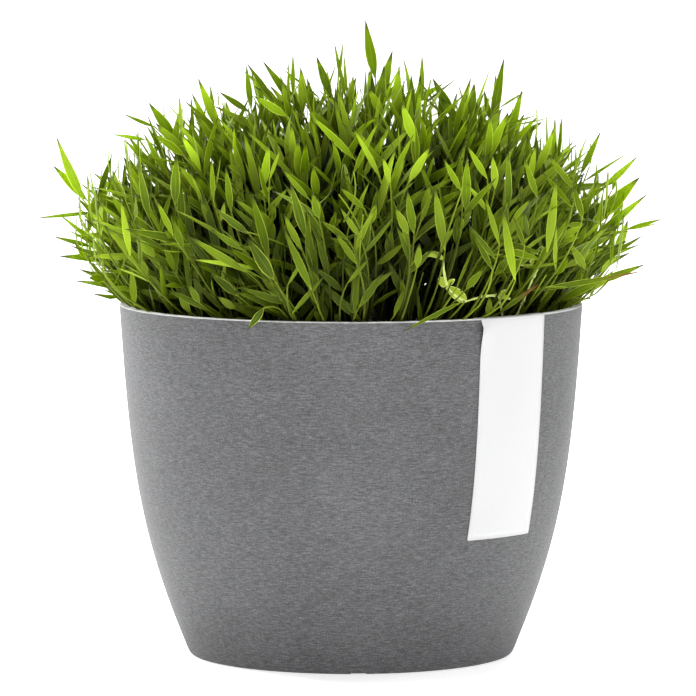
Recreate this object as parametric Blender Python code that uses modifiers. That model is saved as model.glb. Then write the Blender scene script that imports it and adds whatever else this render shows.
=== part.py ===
"""A clump of dwarf bamboo grass in a turned grey pot, with a blank label hung over the pot's rim.

Metres, +Z up. The origin is the centre of the pot's underside, and the label's side faces -Y and +X.
The compost fills the pot. Each culm is one grown piece, a wiry stem with its blades in two ranks, and stands
on the compost. Two self-sown seedlings stand among the culms.
"""

import math
import random

import bmesh
import bpy
from mathutils import Matrix, Vector
from mathutils.bvhtree import BVHTree

# The pot: its outer wall is one cubic curve of (radius, height) from the foot to the rim.
POT_HEIGHT = 0.1516
WALL_CURVE = ((0.0712, 0.0028), (0.0919, 0.0523), (0.0957, 0.0830), (0.1000, POT_HEIGHT))
WALL = 0.0040
FLOOR = 0.0045
LIP_ROUND = 0.0014
FOOT_CORNER = 0.0701
FOOT_FLAT = 0.0689
INNER_LOW = 0.0160
INNER_FLARE = 0.008
INNER_STEPS = 5
OUTER_STEPS = 7
POT_SIDES = 36
NOTCH_WIDTH = 0.0065
NOTCH_HEIGHT = 0.0006
NOTCH_DEPTH = 0.0050
NOTCH_COUNT = 4
NOTCH_TURN = math.radians(2.6)

# The compost stops below the rim and stands a little higher in the middle.
GAP = 0.0004
COMPOST_EDGE = POT_HEIGHT - 0.0150
COMPOST_CROWN = POT_HEIGHT - 0.0085
COMPOST_SHOULDER = 0.0040
COMPOST_CLEARANCE = 0.0014
COMPOST_FOOT = 0.006
COMPOST_BEND = 0.55
COMPOST_BEND_LEVEL = COMPOST_EDGE + (COMPOST_CROWN - COMPOST_EDGE) * 0.7

# The label: a strip bent over the rim, its long end outside.
LABEL_WIDTH = 0.0385
LABEL_THICKNESS = 0.0004
LABEL_END = 0.0575
LABEL_TAIL = 0.0100
LABEL_STANDOFF = 0.0007
LABEL_LIFT = 0.0009
LABEL_LIFT_HEIGHT = 0.0180
LABEL_FOLD_DEPTH = 0.004
LABEL_FOLD_ROUND = 0.6
LABEL_TURN = math.radians(44.2)
LABEL_SKEW = math.radians(2.7)
LABEL_ACROSS = 3
LABEL_OUTSIDE_STEPS = 6
LABEL_FOLD_STEPS = 6

# The clump: the culms' tips lie on a low dome, widest a little above the rim. Each culm bends like a bow,
# whose control point is given by its shares of the way out and of the way up.
CULM_COUNT = 32
ROOT_RADIUS = 0.068
DOME_LEVEL = POT_HEIGHT + 0.035
DOME_RISE = 0.080
DOME_RADIUS = 0.134
DOME_LOWEST = math.radians(102)
TOP_OF_CLUMP = 0.2715
LEFT_REACH = 0.1325
RIGHT_REACH = 0.1355
FRONT_REACH = 0.122
BACK_REACH = 0.126
GOLDEN_ANGLE = math.pi * (3 - math.sqrt(5))
BEND_OUT = 0.36
BEND_UP = 0.76

# A culm: a stem that gets thinner, one end blade, and side blades in two ranks that face up and out.
STEM_RADIUS = 0.00065
STEM_TAPER = 0.4
STEM_POINTS = 5
STEM_SHARE = 0.74
END_BLADE = STEM_SHARE - 0.01
BLADES_ON_CULM = 4
LOWEST_BLADE = 0.30
HIGHEST_BLADE = STEM_SHARE - 0.06
BLADE_LENGTHS = (0.026, 0.038)
BLADE_HALF_WIDTH = 0.0023
BLADE_HALF_THICKNESS = 0.0003
BLADE_SPLAY = math.radians(38)
BLADE_ROLL = 0.6
BLADE_TILT = 0.3
BLADE_DROOP = 0.10
TRIES = 14

# A blade's outline, as (distance along, share of the half width).
BLADE_OUTLINE = ((0.0, 0.25), (0.36, 1.0), (1.0, 0.0))

# The seedlings: each has a stem that climbs from the compost near the front rim, and leaves given as
# (point of the stem, direction, length, half width).
SEEDLING_STEM_RADIUS = 0.0005
SEEDLING_ROOT = COMPOST_EDGE + 0.0030
CREEPER_ROUTE = (
    (0.0640, -0.050, SEEDLING_ROOT),
    (0.0620, -0.060, POT_HEIGHT + 0.0080),
    (0.0480, -0.079, POT_HEIGHT + 0.0070),
    (0.0400, -0.082, POT_HEIGHT + 0.0140),
    (0.0385, -0.082, POT_HEIGHT + 0.0245),
)
CREEPER_LEAVES = (
    (2, (-0.75, -0.15, 0.65), 0.0105, 0.0021),
    (3, (-0.60, -0.30, 0.30), 0.0048, 0.0022),
    (4, (-0.85, -0.20, -0.35), 0.0085, 0.0014),
)
UPRIGHT_ROUTE = (
    (0.066, -0.044, SEEDLING_ROOT),
    (0.074, -0.050, POT_HEIGHT + 0.0080),
    (0.0790, -0.054, POT_HEIGHT + 0.0200),
    (0.0800, -0.056, POT_HEIGHT + 0.0240),
)
UPRIGHT_LEAVES = (
    (3, (0.10, -0.10, 1.0), 0.0050, 0.0021),
    (2, (-0.70, -0.20, 0.50), 0.0045, 0.0018),
)


def named_material(name, colour, roughness):
    """A matt finish of one colour, given as linear red, green and blue."""
    material = bpy.data.materials.new(name)
    material.use_nodes = True
    shader = material.node_tree.nodes["Principled BSDF"]
    shader.inputs["Base Color"].default_value = (*colour, 1.0)
    shader.inputs["Roughness"].default_value = roughness
    shader.inputs["Metallic"].default_value = 0.0
    return material


def new_collection(name):
    """A collection of this name under the scene's own."""
    collection = bpy.data.collections.new(name)
    bpy.context.scene.collection.children.link(collection)
    return collection


def add_part(name, mesh, material):
    """A part that shows this mesh in its own material, on the object's stand."""
    part = bpy.data.objects.new(name, mesh)
    part.parent = stand
    mesh.materials.append(material)
    parts.objects.link(part)
    return part


def add_cutter(name, mesh, location=(0, 0, 0)):
    """A hidden helper whose shape a Boolean cuts away or joins on."""
    cutter = bpy.data.objects.new(name, mesh)
    cutter.location = location
    cutters.objects.link(cutter)
    cutter.hide_render = True
    cutter.display_type = "WIRE"
    return cutter


def tree_of(piece):
    """The piece's finished surface in world space, for clearance tests."""
    bpy.context.view_layer.update()
    finished = piece.evaluated_get(bpy.context.evaluated_depsgraph_get())
    bm = bmesh.new()
    bm.from_mesh(finished.to_mesh())
    bm.transform(finished.matrix_world)
    finished.to_mesh_clear()
    tree = BVHTree.FromBMesh(bm)
    bm.free()
    return tree


def wall_point(share, inset=0.0):
    """A (radius, height) on the outer wall, from its foot at 0 to its rim at 1, moved inwards by inset."""
    foot, low, high, rim = (Vector(point) for point in WALL_CURVE)
    rest = 1 - share
    point = rest**3 * foot + 3 * rest**2 * share * low + 3 * rest * share**2 * high + share**3 * rim
    slope = rest**2 * (low - foot) + 2 * rest * share * (high - low) + share**2 * (rim - high)
    return point + Vector((-slope.y, slope.x)).normalized() * inset


def wall_share(height):
    """The share along the wall's curve at which it reaches this height."""
    below, above = 0.0, 1.0
    for _ in range(30):
        middle = (below + above) / 2
        if wall_point(middle).y < height:
            below = middle
        else:
            above = middle
    return below


def rounded(start, corner, end, steps):
    """Points of a round corner from start to end."""
    start, corner, end = Vector(start), Vector(corner), Vector(end)
    points = []
    for step in range(steps + 1):
        t = step / steps
        points.append((1 - t) ** 2 * start + 2 * (1 - t) * t * corner + t**2 * end)
    return points


def turned(name, section, material):
    """A solid turned round Z from a section of (radius, height) points that starts and ends on the axis."""
    mesh = bpy.data.meshes.new(name)
    edges = [(index, index + 1) for index in range(len(section) - 1)]
    mesh.from_pydata([(radius, 0, height) for radius, height in section], edges, [])
    piece = add_part(name, mesh, material)
    screw = piece.modifiers.new("turn", "SCREW")
    screw.steps = POT_SIDES
    screw.render_steps = POT_SIDES
    screw.use_merge_vertices = True
    screw.merge_threshold = 0.00002
    screw.use_smooth_shade = True
    return piece


def make_planter():
    """The pot: a thin moulded shell with a rounded lip, a flat underside and small drainage notches."""
    lip_share = wall_share(POT_HEIGHT - LIP_ROUND)
    inner_low = wall_share(INNER_LOW)
    rim_radius = WALL_CURVE[3][0]
    corner = wall_point(wall_share(FLOOR), WALL).x
    section = [(0.0, FLOOR)]
    section += rounded((corner - INNER_FLARE, FLOOR), (corner, FLOOR), wall_point(inner_low, WALL), 3)
    for step in range(1, INNER_STEPS):
        section.append(wall_point(inner_low + (lip_share - inner_low) * step / INNER_STEPS, WALL))
    top = POT_HEIGHT
    inside = rim_radius - WALL
    section += rounded(wall_point(lip_share, WALL), (inside, top), (inside + LIP_ROUND, top), 2)
    section += rounded((rim_radius - LIP_ROUND, top), (rim_radius, top), wall_point(lip_share), 2)
    for step in reversed(range(1, OUTER_STEPS)):
        section.append(wall_point(lip_share * step / OUTER_STEPS))
    section += rounded(wall_point(0), (FOOT_CORNER, 0), (FOOT_FLAT, 0), 2)
    section.append((0.0, 0.0))
    planter = turned("planter", section, pot_grey)

    bm = bmesh.new()
    for index in range(NOTCH_COUNT):
        turn = Matrix.Rotation(NOTCH_TURN + index * math.tau / NOTCH_COUNT, 4, "Z")
        place = Matrix.Translation((0, -(FOOT_FLAT + FOOT_CORNER) / 2, 0))
        size = Matrix.Diagonal((NOTCH_WIDTH, NOTCH_DEPTH, 2 * NOTCH_HEIGHT, 1))
        bmesh.ops.create_cube(bm, size=1, matrix=turn @ place @ size)
    mesh = bpy.data.meshes.new("notches")
    bm.to_mesh(mesh)
    bm.free()
    cut = planter.modifiers.new("notches", "BOOLEAN")
    cut.operation = "DIFFERENCE"
    cut.solver = "EXACT"
    cut.object = add_cutter("notches", mesh)
    return planter


def make_compost():
    """The root ball and compost: it fills the pot to a little under the rim, clear of its wall by the gap."""
    inset = WALL + COMPOST_CLEARANCE
    low_share = wall_share(INNER_LOW + 0.002)
    edge_share = wall_share(COMPOST_EDGE - COMPOST_SHOULDER)
    edge = wall_point(wall_share(COMPOST_EDGE), inset).x
    bottom = FLOOR + GAP
    foot = wall_point(wall_share(bottom), inset).x - COMPOST_FOOT
    section = [(0.0, COMPOST_CROWN)]
    section.append((edge * COMPOST_BEND, COMPOST_BEND_LEVEL))
    shoulder = (edge - COMPOST_SHOULDER, COMPOST_EDGE)
    section += rounded(shoulder, (edge, COMPOST_EDGE), wall_point(edge_share, inset), 2)
    section.append(wall_point((edge_share + low_share) / 2, inset))
    section.append(wall_point(low_share, inset))
    section.append((foot, bottom))
    section.append((0.0, bottom))
    return turned("compost", section, peat_brown)


def compost_height(radius):
    """How high the compost's surface lies at this distance from the axis."""
    edge = wall_point(wall_share(COMPOST_EDGE), WALL).x
    bend = edge * COMPOST_BEND
    if radius < bend:
        return COMPOST_CROWN + (COMPOST_BEND_LEVEL - COMPOST_CROWN) * radius / bend
    return COMPOST_BEND_LEVEL + (COMPOST_EDGE - COMPOST_BEND_LEVEL) * min(1, (radius - bend) / (edge - bend))


def label_route():
    """The strip's run as (radius, height) points, from its lower end outside, over the lip, to its tail."""
    route = []
    lifts_from = POT_HEIGHT - LABEL_LIFT_HEIGHT
    straight_top = POT_HEIGHT - LABEL_FOLD_DEPTH
    for step in range(LABEL_OUTSIDE_STEPS + 1):
        height = LABEL_END + (straight_top - LABEL_END) * step / LABEL_OUTSIDE_STEPS
        near_rim = max(0.0, (height - lifts_from) / (straight_top - lifts_from))
        route.append(wall_point(wall_share(height), -LABEL_STANDOFF - LABEL_LIFT * near_rim**2))
    outside = route[-1]
    inside = wall_point(wall_share(outside.y), WALL + LABEL_STANDOFF + GAP)
    over = POT_HEIGHT + LABEL_STANDOFF + GAP
    middle = (outside.x + inside.x) / 2
    reach = (outside.x - inside.x) / 2
    for step in range(1, LABEL_FOLD_STEPS):
        turn = math.pi * step / LABEL_FOLD_STEPS
        height = outside.y + (over - outside.y) * math.sin(turn) ** LABEL_FOLD_ROUND
        route.append(Vector((middle + reach * math.cos(turn), height)))
    route.append(inside)
    route.append(wall_point(wall_share(POT_HEIGHT - LABEL_TAIL), WALL + LABEL_STANDOFF + GAP))
    return route


def make_label():
    """The label: one blank strip of card, as wide all the way, folded over the rim."""
    route = label_route()
    rows = len(route) - 1
    bm = bmesh.new()
    bmesh.ops.create_grid(bm, x_segments=LABEL_ACROSS, y_segments=rows, size=0.5)
    for vertex in bm.verts:
        radius, height = route[round((vertex.co.y + 0.5) * rows)]
        hang = min(1.0, max(0.0, (POT_HEIGHT - height) / (POT_HEIGHT - LABEL_END)))
        turn = LABEL_TURN + LABEL_SKEW * hang + vertex.co.x * LABEL_WIDTH / radius
        vertex.co = (radius * math.sin(turn), -radius * math.cos(turn), height)
    mesh = bpy.data.meshes.new("label")
    bm.to_mesh(mesh)
    bm.free()
    label = add_part("label", mesh, label_white)
    solidify = label.modifiers.new("thickness", "SOLIDIFY")
    solidify.thickness = LABEL_THICKNESS
    solidify.offset = 0.0
    mesh.shade_smooth()
    return label


def make_blade_shape():
    """A blade, one long up Z and two across X: a four-sided lens with a narrow base and a pointed end."""
    bm = bmesh.new()
    raised = Matrix.Translation((0, 0, 0.5))
    bmesh.ops.create_cone(bm, cap_ends=True, segments=4, radius1=1, radius2=0, depth=1, matrix=raised)
    long_edges = [e for e in bm.edges if abs(e.verts[0].co.z - e.verts[1].co.z) > 0.5]
    bmesh.ops.subdivide_edges(bm, edges=long_edges, cuts=len(BLADE_OUTLINE) - 2)
    for vertex in bm.verts:
        along, share = BLADE_OUTLINE[round(vertex.co.z * (len(BLADE_OUTLINE) - 1))]
        cone_radius = max(1 - vertex.co.z, 0.001)
        vertex.co = (vertex.co.x / cone_radius * share, vertex.co.y / cone_radius * share**0.5, along)
    mesh = bpy.data.meshes.new("blade_shape")
    bm.to_mesh(mesh)
    bm.free()
    return mesh


def add_blade(bm, base, direction, face, length, half_width=BLADE_HALF_WIDTH, margin=0.0):
    """Adds a blade that leaves its base along direction, with its upper side towards face, and droops."""
    first = len(bm.verts)
    bm.from_mesh(blade_shape)
    bm.verts.ensure_lookup_table()
    along = direction.normalized()
    side = along.cross(face).normalized()
    up = side.cross(along)
    for vertex in bm.verts[first:]:
        across, depth, share = vertex.co
        bend = -BLADE_DROOP * length * share**2
        vertex.co = base + along * share * (length + margin)
        vertex.co += side * across * (half_width + margin)
        vertex.co += up * (depth * (BLADE_HALF_THICKNESS + margin) + bend)


def blade_tree(base, direction, face, length, margin=0.0):
    """The surface of a blade in that place, swollen by the margin, for clearance tests."""
    bm = bmesh.new()
    add_blade(bm, base, direction, face, length, margin=margin)
    tree = BVHTree.FromBMesh(bm)
    bm.free()
    return tree


def make_stem(name, points, material, radius=STEM_RADIUS):
    """A wiry stem through these points, thinner at its top, as a closed mesh placed at its lowest point."""
    base = points[0]
    curve = bpy.data.curves.new(name, "CURVE")
    curve.dimensions = "3D"
    curve.bevel_depth = radius
    curve.bevel_resolution = 0
    curve.use_fill_caps = True
    spline = curve.splines.new("POLY")
    spline.points.add(len(points) - 1)
    for index, point in enumerate(points):
        spline.points[index].co = (*(point - base), 1)
        spline.points[index].radius = 1 - STEM_TAPER * index / (len(points) - 1)
    wire = bpy.data.objects.new(name + "_wire", curve)
    wire.location = base
    parts.objects.link(wire)
    bpy.context.view_layer.update()
    finished = wire.evaluated_get(bpy.context.evaluated_depsgraph_get())
    mesh = bpy.data.meshes.new_from_object(finished)
    bm = bmesh.new()
    bm.from_mesh(mesh)
    bmesh.ops.remove_doubles(bm, verts=bm.verts, dist=0.00001)
    bm.to_mesh(mesh)
    bm.free()
    mesh.materials.clear()
    stem = add_part(name, mesh, material)
    stem.matrix_world = wire.matrix_world.copy()
    bpy.data.objects.remove(wire)
    mesh.shade_smooth()
    return stem


def join_blades(stem, bm):
    """Joins the blades in this bmesh, which are in world space, to their stem as one grown piece."""
    bm.transform(stem.matrix_world.inverted())
    mesh = bpy.data.meshes.new(stem.name + "_blades")
    bm.to_mesh(mesh)
    union = stem.modifiers.new("blades", "BOOLEAN")
    union.operation = "UNION"
    union.solver = "EXACT"
    union.object = add_cutter(stem.name + "_blades", mesh, stem.location)


def bent(start, control, end, share):
    """A point and its direction on the smooth bend from start to end."""
    rest = 1 - share
    point = rest**2 * start + 2 * rest * share * control + share**2 * end
    direction = rest * (control - start) + share * (end - control)
    return point, direction.normalized()


def culm_runs():
    """Each culm's root, bend and tip. Roots and tips follow a sunflower's pattern, so no two stems cross."""
    tips = []
    for index in range(CULM_COUNT):
        spread = math.sqrt((index + 0.5) / CULM_COUNT)
        lean = math.acos(1 - (1 - math.cos(DOME_LOWEST)) * spread**2)
        turn = index * GOLDEN_ANGLE
        reach = DOME_RADIUS * math.sin(lean) * chance.uniform(0.93, 1.0)
        height = DOME_LEVEL + DOME_RISE * math.cos(lean) * chance.uniform(0.88, 1.0)
        tips.append(Vector((reach * math.cos(turn), reach * math.sin(turn), height)))
    left = LEFT_REACH / -min(tip.x for tip in tips)
    right = RIGHT_REACH / max(tip.x for tip in tips)
    front = FRONT_REACH / -min(tip.y for tip in tips)
    back = BACK_REACH / max(tip.y for tip in tips)
    tips[0].z = TOP_OF_CLUMP
    runs = []
    for index, tip in enumerate(tips):
        spread = math.sqrt((index + 0.5) / CULM_COUNT)
        turn = index * GOLDEN_ANGLE
        radius = ROOT_RADIUS * spread
        level = compost_height(radius) + 2 * GAP
        root = Vector((radius * math.cos(turn), radius * math.sin(turn), level))
        tip.x *= right if tip.x > 0 else left
        tip.y *= back if tip.y > 0 else front
        control = root.lerp(tip, BEND_OUT)
        control.z = root.z + BEND_UP * (tip.z - root.z)
        runs.append((root, control, tip))
    return runs


def blade_places(run):
    """Where a culm's blades leave it, as (point, direction, rank): its end blade, then those in two ranks."""
    places = [(*bent(*run, END_BLADE), 0)]
    for index in range(BLADES_ON_CULM):
        share = LOWEST_BLADE + (HIGHEST_BLADE - LOWEST_BLADE) * index / (BLADES_ON_CULM - 1)
        places.append((*bent(*run, share), 1 if index % 2 else -1))
    return places


def blade_pose(point, direction, rank, tip, attempt):
    """One pose for a blade: its direction, its upper side and its length. Each attempt is a looser one."""
    outward = Vector((1, 0, 0))
    if direction.z < 0.99:
        outward = Vector((direction.x, direction.y, 0)).normalized()
    face = Vector((0, 0, 1)) - outward * BLADE_TILT
    side = direction.cross(face).normalized()
    loose = 1 + attempt / TRIES
    splay = rank * BLADE_SPLAY * chance.uniform(0.8, 1.2) / loose
    roll = chance.uniform(-BLADE_ROLL, BLADE_ROLL) * loose
    sideways = Matrix.Rotation(roll, 3, direction) @ side
    towards = direction * math.cos(splay) + sideways * math.sin(splay)
    length = chance.uniform(*BLADE_LENGTHS) / loose**0.5
    if rank == 0:
        return towards, towards.cross(sideways).cross(towards), (tip - point).length
    return towards, towards.cross(face).cross(towards), length


def make_culms(others):
    """The culms: all the stems first, then each blade that finds a place clear of everything else."""
    runs = culm_runs()
    stems = []
    for index, run in enumerate(runs):
        shares = [STEM_SHARE * step / (STEM_POINTS - 1) for step in range(STEM_POINTS)]
        points = [bent(*run, share)[0] for share in shares]
        stems.append(make_stem(f"culm_{index + 1:02d}", points, leaf_green))
    stem_trees = [tree_of(stem) for stem in stems]
    blade_trees = list(others)
    for own, (run, stem) in enumerate(zip(runs, stems)):
        other_stems = stem_trees[:own] + stem_trees[own + 1 :]
        blades = bmesh.new()
        for point, direction, rank in blade_places(run):
            for attempt in range(TRIES):
                pose = blade_pose(point, direction, rank, run[2], attempt)
                trial = blade_tree(point, *pose, margin=GAP)
                if any(trial.overlap(other) for other in blade_trees + other_stems):
                    continue
                blade_trees.append(blade_tree(point, *pose))
                add_blade(blades, point, *pose)
                break
        join_blades(stem, blades)
        blades.free()


def make_seedling(name, route, leaves):
    """A self-sown seedling: one pale creeping stem with a few small leaves."""
    stem = make_stem(name, [Vector(point) for point in route], seedling_green, SEEDLING_STEM_RADIUS)
    blades = bmesh.new()
    for at, direction, length, half_width in leaves:
        add_blade(blades, Vector(route[at]), Vector(direction), Vector((0, -1, 0.4)), length, half_width)
    join_blades(stem, blades)
    blades.free()
    return stem


# Clear the scene, then make the collections and finishes.
for item in list(bpy.data.objects):
    bpy.data.objects.remove(item, do_unlink=True)
chance = random.Random(20)
parts = new_collection("potted_bamboo_grass")
cutters = new_collection("cutters")
stand = bpy.data.objects.new("stand", None)
parts.objects.link(stand)
pot_grey = named_material("pot grey", (0.175, 0.175, 0.182), 0.75)
peat_brown = named_material("peat brown", (0.020, 0.013, 0.008), 0.95)
label_white = named_material("label white", (0.88, 0.88, 0.88), 0.55)
leaf_green = named_material("leaf green", (0.130, 0.195, 0.012), 0.50)
seedling_green = named_material("seedling green", (0.300, 0.420, 0.080), 0.50)
blade_shape = make_blade_shape()

planter_piece = make_planter()
compost_piece = make_compost()
label_piece = make_label()
creeper = make_seedling("seedling_01", CREEPER_ROUTE, CREEPER_LEAVES)
upright = make_seedling("seedling_02", UPRIGHT_ROUTE, UPRIGHT_LEAVES)
make_culms([tree_of(piece) for piece in (planter_piece, compost_piece, label_piece, creeper, upright)])
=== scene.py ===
"""A clump of dwarf bamboo grass in a round grey pot with a blank label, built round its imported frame."""

import math
import random

import bmesh
import bpy
from mathutils import Matrix, Vector, noise


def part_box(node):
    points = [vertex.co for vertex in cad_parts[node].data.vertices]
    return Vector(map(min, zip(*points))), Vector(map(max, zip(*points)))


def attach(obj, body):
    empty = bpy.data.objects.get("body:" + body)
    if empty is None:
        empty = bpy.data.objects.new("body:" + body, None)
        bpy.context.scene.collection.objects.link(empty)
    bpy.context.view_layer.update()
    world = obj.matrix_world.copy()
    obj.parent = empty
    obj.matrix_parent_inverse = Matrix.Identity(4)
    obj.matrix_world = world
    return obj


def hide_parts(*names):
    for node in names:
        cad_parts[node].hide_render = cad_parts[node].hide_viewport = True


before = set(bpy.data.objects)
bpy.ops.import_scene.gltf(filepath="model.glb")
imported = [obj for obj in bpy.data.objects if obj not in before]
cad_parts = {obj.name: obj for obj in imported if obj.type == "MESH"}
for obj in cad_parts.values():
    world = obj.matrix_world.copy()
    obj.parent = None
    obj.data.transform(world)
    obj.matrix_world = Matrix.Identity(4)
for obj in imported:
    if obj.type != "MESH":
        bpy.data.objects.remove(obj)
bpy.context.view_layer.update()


# The studio: a camera a little above the plant, looking slightly down through a long lens. A broad soft light
# hangs overhead, a wide panel leans in from behind, a tall one stands behind each side, and a low one in
# front brightens the pot's foot.
camera_data = bpy.data.cameras.new("camera")
camera_data.lens = 284.8
camera_data.sensor_width = 36.0
camera_data.shift_x = -0.0043
camera_data.shift_y = 0.0254
camera_data.clip_end = 60.0
camera = bpy.data.objects.new("camera", camera_data)
camera.location = (0.0, -2.3697, 0.3464)
camera.rotation_euler = (math.radians(90 - 5.355), 0.0, 0.0)
bpy.context.scene.collection.objects.link(camera)
bpy.context.scene.camera = camera
bpy.context.scene.view_settings.view_transform = "Standard"

world = bpy.data.worlds.new("studio")
world.use_nodes = True
world.node_tree.nodes["Background"].inputs["Color"].default_value = (1.0, 1.0, 1.0, 1.0)
world.node_tree.nodes["Background"].inputs["Strength"].default_value = 0.20
bpy.context.scene.world = world


def add_light(name, kind, place, target, energy, settings):
    """A lamp at place, aimed at target."""
    data = bpy.data.lights.new(name, kind)
    data.energy = energy
    for setting, value in settings.items():
        setattr(data, setting, value)
    lamp = bpy.data.objects.new(name, data)
    lamp.location = place
    lamp.rotation_euler = (Vector(target) - Vector(place)).to_track_quat("-Z", "Y").to_euler()
    bpy.context.scene.collection.objects.link(lamp)


add_light("overhead", "SUN", (0.0, 0.25, 3), (0, 0, 0), 4.5, {"angle": math.radians(20)})
wide_panel = {"shape": "RECTANGLE", "size": 1.8, "size_y": 0.8}
add_light("back_panel", "AREA", (0.0, 1.3, 1.25), (0, 0, 0.22), 50.0, wide_panel)
tall_panel = {"shape": "RECTANGLE", "size": 0.6, "size_y": 1.3}
add_light("left_panel", "AREA", (-1.25, 0.80, 0.95), (0, 0, 0.18), 36.0, tall_panel)
add_light("right_panel", "AREA", (1.4, 0.50, 1.05), (0, 0, 0.20), 9.0, tall_panel)
low_panel = {"shape": "RECTANGLE", "size": 1.4, "size_y": 0.3}
add_light("front_panel", "AREA", (0.0, -1.4, 0.40), (0, 0, 0.02), 10.0, low_panel)


def finished_object(bm, name, materials):
    """Makes the bmesh an object of this name with these materials, and puts it in the scene."""
    mesh = bpy.data.meshes.new(name)
    bm.to_mesh(mesh)
    bm.free()
    for material in materials:
        mesh.materials.append(material)
    piece = bpy.data.objects.new(name, mesh)
    bpy.context.scene.collection.objects.link(piece)
    return piece


class Wire:
    """A value, colour or shader on its way through a material. Arithmetic on it becomes Math nodes."""

    def __init__(self, tree, socket=None):
        self.tree = tree
        self.socket = socket

    def node(self, kind, settings=None, sockets=None, output=0):
        """Adds a node: first its settings, then its sockets' values or links. Returns one of its outputs."""
        made = self.tree.nodes.new(kind)
        for name, value in (settings or {}).items():
            if name == "stops":
                ramp = made.color_ramp.elements
                ramp[0].position, ramp[0].color = value[0]
                ramp[1].position, ramp[1].color = value[-1]
                for position, colour in value[1:-1]:
                    ramp.new(position).color = colour
            else:
                setattr(made, name, value)
        for name, value in (sockets or {}).items():
            if isinstance(value, Wire):
                self.tree.links.new(value.socket, made.inputs[name])
            else:
                made.inputs[name].default_value = value
        return Wire(self.tree, made.outputs[output] if made.outputs else None)

    def math(self, operation, *values):
        """A Math node that works on these values."""
        return self.node("ShaderNodeMath", {"operation": operation}, dict(enumerate(values)))

    def __add__(self, other):
        return self.math("ADD", self, other)

    def __mul__(self, other):
        return self.math("MULTIPLY", self, other)

    def __sub__(self, other):
        return self.math("SUBTRACT", self, other)

    def __rsub__(self, other):
        return self.math("SUBTRACT", other, self)

    __radd__ = __add__
    __rmul__ = __mul__

    def mix(self, low, high):
        """The colour low where this value is 0, and high where it is 1."""
        return self.node("ShaderNodeMix", {"data_type": "RGBA"}, {0: self, 6: low, 7: high}, output=2)

    def place(self):
        """The place on the piece, in metres."""
        return self.node("ShaderNodeTexCoord", None, None, output="Object")

    def marked(self, name):
        """The value that the mesh's points carry under this name."""
        return self.node("ShaderNodeAttribute", {"attribute_name": name}, output="Fac")

    def speckle(self, place, scale, detail, roughness=0.5):
        """Cloudy noise over the place, finer with a larger scale."""
        sockets = {"Vector": place, "Scale": scale, "Detail": detail, "Roughness": roughness}
        return self.node("ShaderNodeTexNoise", None, sockets)

    def span(self, value, low, high):
        """0 where the value is low, 1 where it is high, and even between them."""
        return self.node("ShaderNodeMapRange", None, {"Value": value, "From Min": low, "From Max": high})

    def relief(self, height, strength, distance):
        """Small bumps of this height, for a surface's Normal."""
        sockets = {"Strength": strength, "Distance": distance, "Height": height}
        return self.node("ShaderNodeBump", None, sockets)

    def finish(self, looks):
        """Ends the material in one surface with these looks."""
        surface = self.node("ShaderNodeBsdfPrincipled", None, looks)
        self.node("ShaderNodeOutputMaterial", None, {"Surface": surface})


def new_finish(name):
    """An empty material, and a wire to add its nodes from."""
    material = bpy.data.materials.new(name)
    material.use_nodes = True
    material.node_tree.nodes.clear()
    return material, Wire(material.node_tree)


# The floor: a matt white light table, softly lit from below so that it shows little shadow. It is wide enough
# to fill the view, and lies a hair below the pot's underside, so that the two faces stay apart.
floor_half = 20.0
floor_level = Matrix.Translation((0, 0, -0.0002))
floor_finish, wire = new_finish("floor white")
looks = {
    "Base Color": (0.72, 0.72, 0.72, 1.0),
    "Roughness": 0.9,
    "Emission Color": (1.0, 1.0, 1.0, 1.0),
    "Emission Strength": 0.64,
}
wire.finish(looks)
bm = bmesh.new()
bmesh.ops.create_grid(bm, x_segments=1, y_segments=1, size=floor_half, matrix=floor_level)
floor = finished_object(bm, "floor", [floor_finish])


# The planter: a moulded shell of recycled plastic and stone dust, 4 mm thick, turned in shape, with a flat
# lip and a flat underside that has four small drainage notches in its edge. The moulding leaves a fine grain
# and faint level streaks all over. The top of the lip is painted paler than the wall, as a painted highlight
# for the light that falls on it from above.
pot_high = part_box("planter")[1]
rim_radius = pot_high[0]
rim_height = pot_high[2]
pot_wall = 0.0040
pot_floor = 0.0045
wall_curve = ((0.0712, 0.0028), (0.0919, 0.0523), (0.0957, 0.0830), (rim_radius, rim_height))
foot_corner = 0.0701
foot_flat = 0.0689
floor_flare = 0.008
inner_low_height = 0.016
inner_steps = 16
outer_steps = 24
corner_steps = 5
lip_round = 0.0005
pot_steps = 160
halvings = 30
rim_highlight_depth = 0.0004
rim_highlight_fade = 0.0002


def wall_point(share, inset=0.0):
    """A (radius, height) on the pot's outer curve, from its foot at 0 to its rim at 1, moved in by inset."""
    foot, low, high, rim = (Vector(point) for point in wall_curve)
    rest = 1 - share
    point = rest**3 * foot + 3 * rest**2 * share * low + 3 * rest * share**2 * high + share**3 * rim
    slope = rest**2 * (low - foot) + 2 * rest * share * (high - low) + share**2 * (rim - high)
    return point + Vector((-slope.y, slope.x)).normalized() * inset


def wall_share(height):
    """How far along the wall's curve this height is."""
    below, above = 0.0, 1.0
    for _ in range(halvings):
        middle = (below + above) / 2
        if wall_point(middle).y < height:
            below = middle
        else:
            above = middle
    return below


def rounded(start, corner, end, steps=corner_steps):
    """The points of a round corner."""
    start, corner, end = Vector(start), Vector(corner), Vector(end)
    points = []
    for step in range(steps + 1):
        t = step / steps
        points.append((1 - t) ** 2 * start + 2 * (1 - t) * t * corner + t**2 * end)
    return points


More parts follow.
